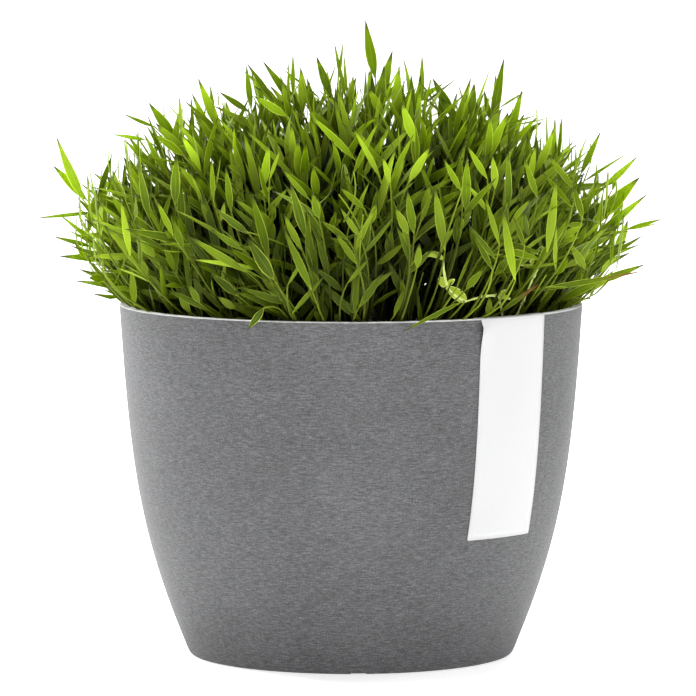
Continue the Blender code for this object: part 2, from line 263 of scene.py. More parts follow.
def spun(section, steps):
    """A bmesh turned round Z from (radius, height) points that start and end on the axis."""
    turned = bmesh.new()
    ring = [turned.verts.new((radius, 0, height)) for radius, height in section]
    edges = [turned.edges.new(pair) for pair in zip(ring, ring[1:])]
    bmesh.ops.spin(turned, geom=ring + edges, axis=(0, 0, 1), angle=math.tau, steps=steps, use_merge=True)
    bmesh.ops.remove_doubles(turned, verts=turned.verts, dist=0.00001)
    bmesh.ops.recalc_face_normals(turned, faces=turned.faces)
    for face in turned.faces:
        face.smooth = True
    return turned


lip_share = wall_share(rim_height - lip_round)
inner_low = wall_share(inner_low_height)
inner_radius = rim_radius - pot_wall
inner_foot = wall_point(wall_share(pot_floor), pot_wall).x
floor_edge = (inner_foot - floor_flare, pot_floor)
section = [(0.0, pot_floor)]
section += rounded(floor_edge, (inner_foot, pot_floor), wall_point(inner_low, pot_wall))
for step in range(1, inner_steps):
    section.append(wall_point(inner_low + (lip_share - inner_low) * step / inner_steps, pot_wall))
inner_lip, outer_lip = inner_radius + lip_round, rim_radius - lip_round
section += rounded(wall_point(lip_share, pot_wall), (inner_radius, rim_height), (inner_lip, rim_height))
section += rounded((outer_lip, rim_height), (rim_radius, rim_height), wall_point(lip_share))
for step in reversed(range(1, outer_steps)):
    section.append(wall_point(lip_share * step / outer_steps))
section += rounded(wall_point(0), (foot_corner, 0), (foot_flat, 0))
section += [(0.0, 0.0)]

pot_finish, wire = new_finish("grey composite")
place = wire.place()
streak_place = wire.node("ShaderNodeMapping", None, {"Vector": place, "Scale": (330.0, 330.0, 2300.0)})
streaks = wire.speckle(streak_place, 1.0, 2.0)
grain = wire.speckle(place, 2000.0, 1.0, roughness=0.7)
clouds = wire.speckle(place, 22.0, 3.0)
tone = streaks * 0.44 + grain * 0.46 + clouds * 0.10
pot_tones = [
    (0.38, (0.026, 0.026, 0.0270, 1.0)),
    (0.50, (0.064, 0.064, 0.0665, 1.0)),
    (0.62, (0.120, 0.120, 0.1247, 1.0)),
]
walled = wire.node("ShaderNodeValToRGB", {"stops": pot_tones}, {"Fac": tone})
height = wire.node("ShaderNodeSeparateXYZ", None, {"Vector": place}, output="Z")
# Painted highlight: the top of the lip is painted pale, for the light that falls on it from above.
rim_highlight = wire.span(height, rim_height - rim_highlight_depth, rim_height - rim_highlight_fade)
colour = rim_highlight.mix(walled, (0.70, 0.70, 0.70, 1.0))
relief = wire.relief(tone, 0.2, 0.0002)
looks = {"Base Color": colour, "Roughness": 0.52 + 0.22 * tone, "Specular IOR Level": 0.45, "Normal": relief}
wire.finish(looks)

notch_width = 0.0065
notch_height = 0.0006
notch_depth = 0.0050
notch_turn = math.radians(2.6)
notch_count = 4
planter = finished_object(spun(section, pot_steps), "planter_shell", [pot_finish])
bm = bmesh.new()
for index in range(notch_count):
    turn = Matrix.Rotation(notch_turn + index * math.tau / notch_count, 4, "Z")
    shift = Matrix.Translation((0, -(foot_flat + foot_corner) / 2, 0))
    size = Matrix.Diagonal((notch_width, notch_depth, 2 * notch_height, 1))
    bmesh.ops.create_cube(bm, size=1, matrix=turn @ shift @ size)
notches = finished_object(bm, "notches", [])
cut = planter.modifiers.new("notches", "BOOLEAN")
cut.object = notches
bpy.context.view_layer.update()
cut_mesh = bpy.data.meshes.new_from_object(planter.evaluated_get(bpy.context.evaluated_depsgraph_get()))
planter.modifiers.clear()
planter.data = cut_mesh
cut_mesh.set_sharp_from_angle(angle=math.radians(45))
bpy.data.objects.remove(notches)
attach(planter, "root")
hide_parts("planter")


# The label: one strip of smooth white card, blank, folded tightly over the rim. It hangs down the outside a
# little askew, its left edge curls away from the wall near the fold, and its short tail goes down inside.
label_width = 0.0376
label_thickness = 0.0003
label_end = 0.0575
label_tail = 0.0100
label_gap = 0.00022
label_curl = 0.0018
label_curl_depth = 0.004
label_curl_height = 0.0130
label_curl_start = 0.003
label_squareness = 0.25
label_turn = math.radians(43.6)
label_skew = math.radians(1.5)
label_across = 16
label_outside_steps = 30
label_fold_steps = 12
label_corner = 0.0007

hang_top = rim_height - lip_round
route = []
for step in range(label_outside_steps + 1):
    height = label_end + (hang_top - label_end) * step / label_outside_steps
    route.append(wall_point(wall_share(height), -label_gap))
outside = route[-1]
inside = wall_point(wall_share(hang_top), pot_wall + label_gap)
for step in range(1, label_fold_steps):
    turn = math.pi * step / label_fold_steps
    rise = (lip_round + label_gap) * math.sin(turn) ** label_squareness
    across = (outside.x + inside.x) / 2 + (outside.x - inside.x) / 2 * math.cos(turn)
    route.append(Vector((across, hang_top + rise)))
route.append(inside)
route.append(wall_point(wall_share(rim_height - label_tail), pot_wall + label_gap))

label_finish, wire = new_finish("label card")
place = wire.place()
fibres = wire.speckle(place, 900.0, 3.0)
waves = wire.speckle(place, 25.0, 1.0)
colour = (fibres * 0.6 + waves * 0.4).mix((0.455, 0.455, 0.458, 1.0), (0.49, 0.49, 0.493, 1.0))
relief = wire.relief(fibres, 0.12, 0.0001)
looks = {"Base Color": colour, "Roughness": 0.42 + 0.1 * fibres, "Normal": relief}
wire.finish(looks)

bm = bmesh.new()
rows = len(route) - 1
bmesh.ops.create_grid(bm, x_segments=label_across, y_segments=rows, size=0.5)
end_corners = []
for vertex in bm.verts:
    row = round((vertex.co.y + 0.5) * rows)
    if row == 0 and abs(vertex.co.x) > 0.499:
        end_corners.append(vertex)
    radius, height = route[row]
    if row <= label_outside_steps:
        near_rim = max(0.0, 1 - abs(hang_top - label_curl_depth - height) / label_curl_height)
        left_edge = max(0.0, -vertex.co.x * 2 - 0.5) * 2
        radius += label_curl * (near_rim * left_edge) ** 2 * min(1.0, (hang_top - height) / label_curl_start)
    hang = min(1.0, max(0.0, (rim_height - height) / (rim_height - label_end)))
    turn = label_turn + label_skew * hang + vertex.co.x * label_width / radius
    vertex.co = (radius * math.sin(turn), -radius * math.cos(turn), height)
bmesh.ops.bevel(
    bm, geom=end_corners, offset=label_corner, segments=3, profile=0.5, affect="VERTICES", material=-1
)
for face in bm.faces:
    face.smooth = True
label = finished_object(bm, "hanging_label", [label_finish])
solidify = label.modifiers.new("thickness", "SOLIDIFY")
solidify.thickness = label_thickness
solidify.offset = 0.0
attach(label, "root")
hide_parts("label")


# The compost: peaty potting compost that fills the pot to a little under its rim, crumbled by hand, so that
# its surface is rough, and loose crumbs and a few grains of white perlite lie on it.
compost_edge = rim_height - 0.0150
compost_crown = rim_height - 0.0085
compost_inset = pot_wall + 0.0006
compost_bottom = pot_floor + 0.0004
compost_shoulder = 0.003
compost_foot = 0.006
compost_rings = 20
compost_wall_rings = 8
compost_sides = 90
lump_height, lump_scale = 0.0012, 160
clod_height, clod_scale = 0.0008, 520
crumb_count = 420
perlite_count = 26
crumb_margin = 0.004
lump_margin = 0.001
crumb_sizes = (0.0006, 0.0017)


def compost_height(radius):
    """How high the compost lies at this distance from the pot's axis."""
    return compost_edge + (compost_crown - compost_edge) * max(0.0, 1 - (radius / inner_radius) ** 2)


compost_finish, wire = new_finish("peat compost")
place = wire.place()
lumps = wire.speckle(place, 420.0, 4.0, roughness=0.7)
relief = wire.relief(lumps, 0.8, 0.001)
colour = lumps.mix((0.008, 0.005, 0.003, 1.0), (0.048, 0.030, 0.018, 1.0))
looks = {"Base Color": colour, "Roughness": 0.95, "Normal": relief}
wire.finish(looks)

perlite_finish, wire = new_finish("perlite white")
place = wire.place()
pores = wire.speckle(place, 1800.0, 2.0)
colour = pores.mix((0.62, 0.60, 0.55, 1.0), (0.86, 0.86, 0.84, 1.0))
wire.finish({"Base Color": colour, "Roughness": 0.9})

edge_share = wall_share(compost_edge - compost_shoulder)
low_share = wall_share(inner_low_height + 0.002)
edge_radius = wall_point(edge_share, compost_inset).x
section = []
for step in range(compost_rings + 1):
    radius = edge_radius * step / compost_rings
    section.append((radius, compost_height(radius)))
for step in range(1, compost_wall_rings + 1):
    share = edge_share + (low_share - edge_share) * step / compost_wall_rings
    section.append(wall_point(share, compost_inset))
bottom_radius = wall_point(wall_share(compost_bottom), compost_inset).x - compost_foot
section += [(bottom_radius, compost_bottom), (0.0, compost_bottom)]
bm = spun(section, compost_sides)
for vertex in bm.verts:
    on_top = vertex.co.z > compost_edge - lump_margin
    if on_top and vertex.co.xy.length < edge_radius - lump_margin:
        lump = lump_height * noise.noise(vertex.co * lump_scale)
        vertex.co.z += lump + clod_height * noise.noise(vertex.co * clod_scale)
chance = random.Random(3)
for index in range(crumb_count + perlite_count):
    radius = (edge_radius - crumb_margin) * math.sqrt(chance.random())
    turn = chance.uniform(0, math.tau)
    size = chance.uniform(*crumb_sizes)
    level = compost_height(radius) + size * 0.4
    set_down = Matrix.Translation((radius * math.cos(turn), radius * math.sin(turn), level))
    roll = chance.uniform(0, math.tau)
    tumbled = Matrix.Rotation(roll, 4, Vector((chance.gauss(0, 1), chance.gauss(0, 1), 1)))
    squashed = Matrix.Diagonal((size, size * chance.uniform(0.5, 0.9), size * chance.uniform(0.4, 0.8), 1))
    made = bmesh.ops.create_icosphere(bm, subdivisions=1, radius=1, matrix=set_down @ tumbled @ squashed)
    for face in {face for vertex in made["verts"] for face in vertex.link_faces}:
        face.material_index = 1 if index >= crumb_count else 0
compost = finished_object(bm, "root_ball", [compost_finish, perlite_finish])
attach(compost, "root")
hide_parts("compost")


# The culms: a dense tuft of wiry bamboo grass. Each culm grew as one piece from the root ball, arches up and
# out, and carries narrow blades in two ranks, with one more at its end. They stand in groups, one for each
# culm of the frame. Deep in the tuft and low down their colour is darkened as painted shade, and at the
# tuft's outside it stays bright.
culm_radius = 0.00052
root_depth = 0.001
culm_rings = 10
culm_knot_spacing = 3
culm_knot = 1.3
culm_taper = 0.45
culm_clearance = 0.0015
culm_flare = 3.0

# A blade's outline, as (distance along, share of the half width).
blade_outline = (
    (0, 0.12),
    (0.07, 0.34),
    (0.15, 0.61),
    (0.25, 0.87),
    (0.37, 1.0),
    (0.50, 0.94),
    (0.66, 0.71),
    (0.81, 0.42),
    (0.93, 0.16),
    (1, 0),
)
blade_fold = 0.26
blade_thickness = 0.045
least_arch = 0.00001

# Painted light: how much lighter blades are painted high in the tuft and out at its sides, and the most it
# lightens them.
high_light, high_light_start, high_light_reach = 6, 0.045, 0.040
side_light, side_light_start, side_light_reach = 8, 0.092, 0.030
lightest = 0.72
upright = Matrix.Translation((0, 0, 0.5))


def pointed_shape(name, outline):
    """A blade's mesh, one long up Z and two across X: closed, folded along its middle, with sharp margins."""
    bm = bmesh.new()
    bmesh.ops.create_cone(bm, cap_ends=True, segments=4, radius1=1, radius2=0, depth=1, matrix=upright)
    long_edges = [edge for edge in bm.edges if abs(edge.verts[0].co.z - edge.verts[1].co.z) > 0.5]
    bmesh.ops.subdivide_edges(bm, edges=long_edges, cuts=len(outline) - 2)
    run = bm.loops.layers.uv.new("blade")
    for vertex in bm.verts:
        along, share = outline[round(vertex.co.z * (len(outline) - 1))]
        margin = 0.0 if abs(vertex.co.x) < 0.001 else math.copysign(1, vertex.co.x)
        middle = 0.0 if abs(vertex.co.y) < 0.001 else math.copysign(1, vertex.co.y)
        for loop in vertex.link_loops:
            loop[run].uv = (0.5 + 0.5 * margin, along)
        lift = blade_fold * share * abs(margin) + blade_thickness * middle * min(1, share * 3)
        vertex.co = (margin * share, lift, along)
    for edge in bm.edges:
        on_margin = all(abs(vertex.co.x) > 0.0001 or vertex.co.z > 0.999 for vertex in edge.verts)
        same_side = edge.verts[0].co.x * edge.verts[1].co.x >= 0
        if on_margin and same_side and abs(edge.verts[0].co.z - edge.verts[1].co.z) > 0.01:
            edge.smooth = False
    for face in bm.faces:
        face.smooth = True
    mesh = bpy.data.meshes.new(name)
    bm.to_mesh(mesh)
    bm.free()
    return mesh


blade_shape = pointed_shape("blade_shape", blade_outline)

bm = bmesh.new()
bmesh.ops.create_cone(bm, cap_ends=True, segments=6, radius1=1, radius2=1, depth=1, matrix=upright)
long_edges = [edge for edge in bm.edges if abs(edge.verts[0].co.z - edge.verts[1].co.z) > 0.5]
bmesh.ops.subdivide_edges(bm, edges=long_edges, cuts=culm_rings - 2)
for face in bm.faces:
    face.smooth = True
culm_shape = bpy.data.meshes.new("culm_shape")
bm.to_mesh(culm_shape)
bm.free()


def bent(start, control, end, share):
    """A point and its direction on the smooth bend from start to end."""
    rest = 1 - share
    point = rest**2 * start + 2 * rest * share * control + share**2 * end
    direction = rest * (control - start) + share * (end - control)
    return point, direction.normalized()


rim_clearance = 0.0012
inner_clearance = 0.0008
outer_clearance = 0.0025
compost_clearance = 0.0005


def clear_of_pot(point):
    """The point, lifted where it would touch the pot's wall or go into the compost."""
    radius = point.xy.length
    inside, outside = inner_radius - inner_clearance, rim_radius + outer_clearance
    if inside < radius < outside and point.z < rim_height + rim_clearance:
        point.z = rim_height + rim_clearance
    elif radius <= inside:
        point.z = max(point.z, compost_height(radius) + compost_clearance)
    return point


def kept_in(point):
    """The point of a culm, moved inwards where it would pass through the pot's wall."""
    widest = inner_radius - culm_clearance + culm_flare * max(0.0, point.z - rim_height)
    inwards = min(1.0, widest / max(0.001, point.xy.length))
    return Vector((point.x * inwards, point.y * inwards, point.z))


tuft_level = rim_height + 0.035
tuft_width = 0.121
tuft_depth = 0.118
tuft_rise = 0.071
tuft_drop = 0.060
tuft_foot_depth = 0.090


def out_of_tuft(point):
    """How far out a point is in the tuft: 0 at its middle, 1 at its rounded outside."""
    up = point.z - tuft_level
    height = tuft_rise if up > 0 else tuft_drop
    round_out = Vector((point.x / tuft_width, point.y / tuft_depth, up / height)).length
    spread = tuft_foot_depth + max(0.0, point.z - rim_height)
    return max(round_out, abs(point.y) / spread)


# Where the colour is free of painted shade: in the outer shell of the tuft, where it is also high up or out
# at the sides. Low down it is darkened with painted shade, and a little more so to the right.
shell_width, shell_depth, shell_rise, shell_level = 0.130, 0.122, 0.095, 0.015
shell_start, shell_thickness = 0.56, 0.40
unshaded_height, shaded_foot = 0.066, 0.08
shaded_right, shaded_right_reach = 1.2, 0.050
unshaded_side = 0.034


def youth(point):
    """How free of painted shade a point is: 0 deep in the tuft, and 1 at its outside, high or beyond the rim.
    """
    up = point.z - rim_height
    round_out = Vector((point.x / shell_width, point.y / shell_depth, (up - shell_level) / shell_rise)).length
    shell = min(1.0, max(0.0, (round_out - shell_start) / shell_thickness))
    high = up / unshaded_height - shaded_foot - shaded_right * min(shaded_right_reach, max(0.0, point.x))
    sideways = Vector((point.x, point.y * 0.5)).length - unshaded_side
    return shell * min(1.0, max(0.0, high, sideways / (unshaded_side + max(0.0, up))))


def mark(bm, vertex, tint, wither, unshaded_share):
    """Writes the colouring of a point of a blade or culm."""
    vertex[bm.verts.layers.float["tint"]] = tint
    vertex[bm.verts.layers.float["wither"]] = wither
    vertex[bm.verts.layers.float["youth"]] = unshaded_share


def add_blade(bm, base, along, face, length, half_width, droop=0.0, sweep=0.0, twist=0.0, tint=0.5,
              wither=0.0, shape=blade_shape, least_youth=0.0):
    """Adds one blade from its base along a direction, upper side to the face, arched, swept and twisted."""
    first = len(bm.verts)
    bm.from_mesh(shape)
    bm.verts.ensure_lookup_table()
    along = along.normalized()
    side = along.cross(face).normalized()
    up = side.cross(along)
    for vertex in bm.verts[first:]:
        across, depth, share = vertex.co
        arch = droop * share + least_arch
        above = up * math.cos(arch) + along * math.sin(arch)
        turn = twist * share
        level = side * math.cos(turn) + above * math.sin(turn)
        raised = above * math.cos(turn) - side * math.sin(turn)
        spine = along * math.sin(arch) - up * (1 - math.cos(arch))
        point = base + spine * (length * share / arch) + side * (sweep * length * share**2)
        point += level * (across * half_width) + raised * (depth * half_width)
        vertex.co = clear_of_pot(point)
        # Painted light: the blade's tint is raised high in the tuft and out at its two sides.
        lit = tint + high_light * min(high_light_reach, max(0.0, point.z - rim_height - high_light_start))
        lit += side_light * min(side_light_reach, max(0.0, abs(point.x) - side_light_start))
        mark(bm, vertex, max(tint, min(lightest, lit)), wither, max(least_youth, youth(point)))


def add_culm(bm, start, control, end, share, radius, tint, least_youth=0.0):
    """Adds one wiry culm along the bend, up to this share of it."""
    first = len(bm.verts)
    bm.from_mesh(culm_shape)
    bm.verts.ensure_lookup_table()
    for vertex in bm.verts[first:]:
        ring = vertex.co.z
        point, direction = bent(start, control, end, share * ring)
        side = direction.cross(Vector((0.3, 1, 0.1))).normalized()
        other = direction.cross(side)
        knot = culm_knot if round(ring * (culm_rings - 1)) % culm_knot_spacing == 1 else 1.0
        width = radius * knot * (1 - culm_taper * ring)
        vertex.co = kept_in(point) + (side * vertex.co.x + other * vertex.co.y) * width
        mark(bm, vertex, tint, 1 - ring, max(least_youth, youth(point)))
    bm.faces.ensure_lookup_table()
    for face in bm.faces[-len(culm_shape.polygons) :]:
        face.material_index = 1


def leaf_finish(name, tones, edge, tip, glow_colour, glow_share):
    """A leaf's finish: veined along it, with pale margins that are partly a painted highlight, a pale foot, a
    dark tip, dried parts, and painted shade deep in the tuft.
    """
    finish, wire = new_finish(name)
    run = wire.node("ShaderNodeUVMap", {"uv_map": "blade"})
    across = wire.node("ShaderNodeSeparateXYZ", None, {"Vector": run}, output="X")
    along = wire.node("ShaderNodeSeparateXYZ", None, {"Vector": run}, output="Y")
    tint = wire.marked("tint")
    wither = wire.marked("wither")
    unshaded_share = wire.marked("youth")
    off_middle = wire.math("ABSOLUTE", across - 0.5) * 2
    veins = wire.math("SINE", across * 75.0) * 0.5 + 0.5
    place = wire.place()
    mottle = wire.speckle(place, 160.0, 2.0)
    shade = tint * 0.78 + mottle * 0.22 + veins * 0.05
    fresh = wire.node("ShaderNodeValToRGB", {"stops": tones}, {"Fac": shade})
    rib = wire.span(off_middle, 0.12, 0.0)
    ribbed = (rib * 0.2).mix(fresh, edge)
    # The margins are paled: partly the leaf's own pale margin, partly a painted highlight along its edges.
    margin = wire.span(off_middle, 0.82, 0.96)
    pale_margin_and_highlight = (margin * 0.80).mix(ribbed, edge)
    foot = wire.span(along, 0.09, 0.0)
    footed = (foot * 0.35).mix(pale_margin_and_highlight, edge)
    end = wire.span(along, 0.78, 0.93)
    tipped = (end * 0.9).mix(footed, tip)
    # Painted shade: the colour darkens to near black where the point lies deep in the tuft or low down.
    shaded = (1 - unshaded_share).mix(tipped, (0.0025, 0.0052, 0.0003, 1.0))
    dried = wire.span(along + wither, 0.98, 1.30)
    colour = dried.mix(shaded, (0.17, 0.065, 0.025, 1.0))
    relief = wire.relief(veins, 0.25, 0.0001)
    looks = {"Base Color": colour, "Roughness": 0.40, "Specular IOR Level": 0.08, "Normal": relief}
    surface = wire.node("ShaderNodeBsdfPrincipled", None, looks)
    glow = wire.node("ShaderNodeBsdfTranslucent", None, {"Color": glow_colour})
    through = unshaded_share * (1 - end) * (0.55 + 0.9 * tint) * glow_share
    both = wire.node("ShaderNodeMixShader", None, {0: through, 1: surface, 2: glow})
    wire.node("ShaderNodeOutputMaterial", None, {"Surface": both})
    return finish


blade_tones = [
    (0.0, (0.030, 0.062, 0.001, 1.0)),
    (0.42, (0.178, 0.285, 0.002, 1.0)),
    (1.0, (0.500, 0.650, 0.050, 1.0)),
]
# The pale colour of the rib, the foot and the margins; at the margins it is partly a painted highlight.
blade_edge = (0.78, 0.90, 0.10, 1.0)
blade_tip = (0.036, 0.042, 0.010, 1.0)
blade_glow = (0.66, 0.86, 0.010, 1.0)
blade_finish = leaf_finish("bamboo blade", blade_tones, blade_edge, blade_tip, blade_glow, 0.34)

culm_finish, wire = new_finish("bamboo culm")
aged = wire.marked("wither")
unshaded_share = wire.marked("youth")
place = wire.place()
mottle = wire.speckle(place, 300.0, 2.0)
green = (aged * 0.7 + mottle * 0.3).mix((0.24, 0.33, 0.012, 1.0), (0.045, 0.06, 0.003, 1.0))
# Painted shade: the culm's colour darkens to near black where it lies deep in the tuft or low down.
colour = (1 - unshaded_share).mix(green, (0.006, 0.007, 0.001, 1.0))
looks = {"Base Color": colour, "Roughness": 0.50, "Specular IOR Level": 0.10}
wire.finish(looks)

chance = random.Random(11)


def growing_bmesh():
    """An empty bmesh whose points can be marked with their colouring."""
    bm = bmesh.new()
    for layer in ("tint", "wither", "youth"):
        bm.verts.layers.float.new(layer)
    return bm


culm_nodes = [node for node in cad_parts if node.startswith("culm_")]
group_centres = {node: sum(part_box(node), Vector()) / 2 for node in culm_nodes}
groups = {node: growing_bmesh() for node in culm_nodes}


def nearest_group(point):
    """The group whose culm in the frame stands nearest."""
    return groups[min(culm_nodes, key=lambda node: (group_centres[node] - point).length)]


# The open places in front of the seedlings: each row gives the left and right limit, the depth in front of
# which it is open, and the lowest and highest limit above the rim.
open_places = (
    (0.029, 0.052, -0.074, 0.002, 0.029),
    (0.048, 0.068, -0.056, 0.004, 0.013),
    (0.075, 0.085, -0.048, 0.019, 0.028),
)


def hides_seedling(point):
    """Whether a blade at this point would stand in front of a seedling."""
    for left, right, depth, low, high in open_places:
        if left < point.x < right and point.y < depth and low < point.z - rim_height < high:
            return True
    return False


splays = (14, 58)
inward_pull = 0.15
farthest_reach = (0.84, 1.04)


def ranks_of_blades(run, count, lowest, highest, lengths, half_widths, fresh):
    """Sets blades up a culm's bend in two ranks, each at a splay from it, shortened to stay in the tuft."""
    bm = nearest_group(run[0].lerp(run[2], 0.5))
    plane = chance.uniform(0, math.pi)
    for index in range(count):
        share = lowest + (highest - lowest) * (index + chance.uniform(-0.2, 0.2)) / max(1, count - 1)
        point, direction = bent(*run, min(highest, max(lowest, share)))
        reference = direction.cross(Vector((0.02, 0.01, 1))).normalized()
        outward = Vector((direction.x, direction.y, 0.001)).normalized()
        splay = (1 if index % 2 else -1) * math.radians(chance.uniform(*splays))
        sideways = Matrix.Rotation(plane + chance.uniform(-0.5, 0.5), 3, direction) @ reference
        towards = direction * math.cos(splay) + sideways * math.sin(splay)
        towards -= outward * (inward_pull * max(0.0, towards.dot(outward)))
        towards.normalize()
        length = chance.uniform(*lengths)
        farthest = chance.uniform(*farthest_reach)
        while out_of_tuft(point + towards * length) > farthest and length > lengths[0] / 2:
            length *= 0.85
        places = [point + towards * (length * part) for part in (0.0, 0.5, 1.0)]
        face = Vector((chance.gauss(0, 0.7), chance.gauss(0, 0.7), chance.gauss(0.3, 0.5))) - outward * 0.3
        pose = {
            "length": length,
            "half_width": chance.uniform(*half_widths),
            "droop": chance.uniform(-0.05, 0.30),
            "sweep": chance.uniform(-0.08, 0.08),
            "twist": chance.uniform(-0.6, 0.6),
            "tint": fresh * 0.20 + 0.80 * chance.random() ** 2.0,
        }
        if out_of_tuft(places[2]) < farthest and not any(hides_seedling(place) for place in places):
            add_blade(bm, point, towards, face, **pose)


golden_angle = math.pi * (3 - math.sqrt(5))
culm_count = 250
root_spread = 0.080
dome_rise = 0.084
dome_radius = 0.134
dome_lowest = math.radians(102)
dome_depth_share = 0.92
reach_shares = (0.74, 0.92)
rise_shares = (0.70, 0.93)
bend_shares = (0.38, 0.55)
bend_heights = (0.58, 0.72)
stem_share = 0.74
blade_spacing = 0.0105
rolled_share = 0.30
rolled_half_width = 0.0008
for index in range(culm_count):
    spread = math.sqrt((index + 0.5) / culm_count)
    lean = math.acos(1 - (1 - math.cos(dome_lowest)) * spread**2)
    turn = index * golden_angle
    reach = dome_radius * math.sin(lean) * chance.uniform(*reach_shares)
    height = tuft_level + dome_rise * math.cos(lean) * chance.uniform(*rise_shares)
    tip = Vector((reach * math.cos(turn), reach * math.sin(turn) * dome_depth_share, height))
    radius = root_spread * spread
    root = Vector((radius * math.cos(turn), radius * math.sin(turn), compost_height(radius) - root_depth))
    control = root.lerp(tip, chance.uniform(*bend_shares))
    control.z = root.z + chance.uniform(*bend_heights) * (tip.z - root.z)
    run = (root, control, tip)
    fresh = chance.uniform(0, 1)
    bm = nearest_group(root.lerp(tip, 0.5))
    add_culm(bm, *run, stem_share, culm_radius, fresh)
    blade_count = max(5, min(10, round((tip - root).length / blade_spacing)))
    ranks_of_blades(run, blade_count, 0.22, stem_share - 0.04, (0.023, 0.038), (0.0011, 0.0022), fresh)
    point, direction = bent(*run, stem_share - 0.01)
    rolled = chance.random() < rolled_share
    end_pose = {
        "length": (tip - point).length * chance.uniform(0.9, 1.05),
        "half_width": rolled_half_width if rolled else chance.uniform(0.0014, 0.0024),
        "droop": chance.uniform(-0.1, 0.3),
        "sweep": chance.uniform(-0.08, 0.08),
        "twist": chance.uniform(-0.5, 0.5),
        "tint": min(1, max(0, fresh * 0.4 + chance.uniform(0, 0.6))),
    }
    towards = direction + Vector([chance.uniform(-0.2, 0.2) for _ in range(3)])
    face = Vector((chance.gauss(0, 0.8), chance.gauss(-0.2, 0.8), 0.5))
    if not hides_seedling(point + towards.normalized() * end_pose["length"] / 2):
        add_blade(bm, point, towards, face, **end_pose)

# Low shoots fill the foot of the tuft between the culms.
low_count = 110
low_spread = 0.080
for index in range(low_count):
    spread = math.sqrt((index + 0.5) / low_count)
    turn = index * golden_angle + 1.0
    radius = low_spread * spread
    root = Vector((radius * math.cos(turn), radius * math.sin(turn), compost_height(radius) - root_depth))
    tall = chance.uniform(0.022, 0.048) + 0.018 * (1 - spread)
    out = chance.uniform(0.002, 0.012) + 0.008 * spread
    tip = root + Vector((out * math.cos(turn), out * math.sin(turn), tall))
    control = root.lerp(tip, 0.4)
    control.z = root.z + 0.65 * tall
    add_culm(nearest_group(root.lerp(tip, 0.5)), root, control, tip, 0.9, culm_radius, 0.3)
    run = (root, control, tip)
    ranks_of_blades(run, 5, 0.30, 0.88, (0.017, 0.028), (0.0011, 0.0021), chance.uniform(0, 0.5))


def leading_shoot(across, up, lean, length, half_width, depth, quarter=0, **pose):
    """A shoot whose end blade faces forwards, leans to the right and has its tip across and above the rim,
    all turned round the pot by some quarters."""
    turned = Matrix.Rotation(quarter * math.pi / 2, 3, "Z")
    tip = Vector((across, depth, rim_height + up))
    lean = math.radians(lean)
    towards = Vector((math.sin(lean), 0.1 * math.copysign(1, depth), math.cos(lean)))
    towards.normalize()
    base = tip - towards * length
    root = Vector((base.x * 0.6, base.y * 0.7, 0))
    if root.length > root_spread:
        root *= root_spread / root.length
    root.z = compost_height(root.length) - root_depth
    reach = (base - root).length
    arched = root.lerp(base, 0.45) + Vector((0, 0, 0.2 * (base.z - root.z)))
    control = (arched + base - towards * reach * 0.45) / 2
    run = tuple(turned @ point for point in (root, control, base))
    bm = nearest_group(run[0].lerp(run[2], 0.7))
    add_culm(bm, *run, 1.0, culm_radius, 0.5)
    ranks_of_blades(run, 5, 0.25, 0.85, (0.016, 0.026), (0.0011, 0.0019), 0.2)
    face = Vector((chance.uniform(-0.5, 0.5), -1, chance.uniform(-0.4, 0.6)))
    # Painted light: the end blade's tint rises with its height above the rim.
    tint = 0.70 * chance.random() ** 1.5 + 0.5 * (up - 0.050)
    looks = {"droop": chance.uniform(-0.10, 0.20), "twist": chance.uniform(-0.5, 0.5), "tint": tint}
    looks.update(pose)
    add_blade(bm, run[2], turned @ towards, turned @ face, length, half_width, **looks)


